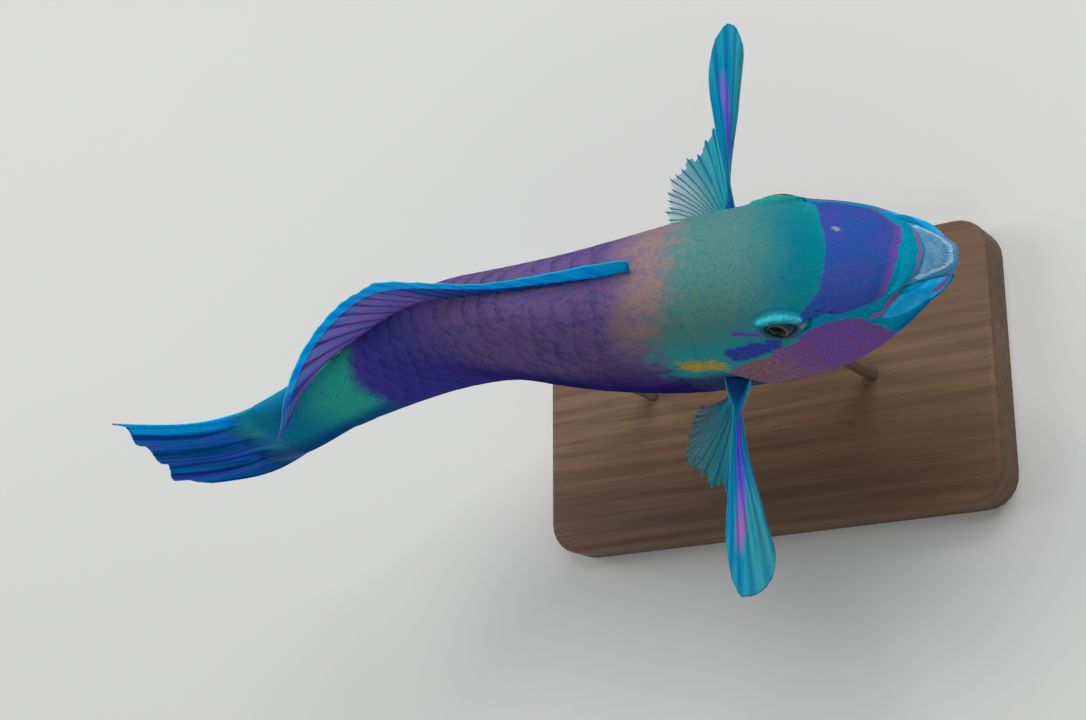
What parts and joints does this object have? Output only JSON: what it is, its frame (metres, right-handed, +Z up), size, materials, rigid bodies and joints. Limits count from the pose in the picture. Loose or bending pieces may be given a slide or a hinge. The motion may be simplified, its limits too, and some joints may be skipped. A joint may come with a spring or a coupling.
{
  "type": "parrotfish model",
  "caption": "Life-size parrotfish swimming with its tail bent to one side and its side fins spread, on a plain wooden base with slim steel rods.",
  "frame": {"origin": "centre of the stand base's underside, on the floor", "axes": "+X forward along the head, towards the snout; +Y the fish's left; +Z up"},
  "size_m": [0.3699, 0.2133, 0.2018],
  "materials": {
    "head_skin": "satin painted skin, teal green and violet",
    "trunk_skin": "satin painted scales, purple brown and blue",
    "stalk_skin": "satin painted scales, green",
    "fins": "satin, blue with violet membranes",
    "beak": "smooth, blue grey tooth plates",
    "eyes": "clear polished",
    "walnut": "oiled walnut",
    "steel": "brushed"
  },
  "bodies": {
    "root": {"head": "head_skin", "beak_upper": "beak", "beak_lower": "beak", "eye_left": "eyes", "eye_right": "eyes", "trunk_front": "trunk_skin", "trunk_rear": "trunk_skin", "tail_stalk": "stalk_skin", "dorsal_fin": "fins", "anal_fin": "fins", "caudal_fin": "fins", "pectoral_fin_left": "fins", "pectoral_fin_right": "fins", "pelvic_fin_left": "fins", "pelvic_fin_right": "fins", "stand_base": "walnut", "stand_rod_front": "steel", "stand_rod_rear": "steel"}
  },
  "joints": []
}
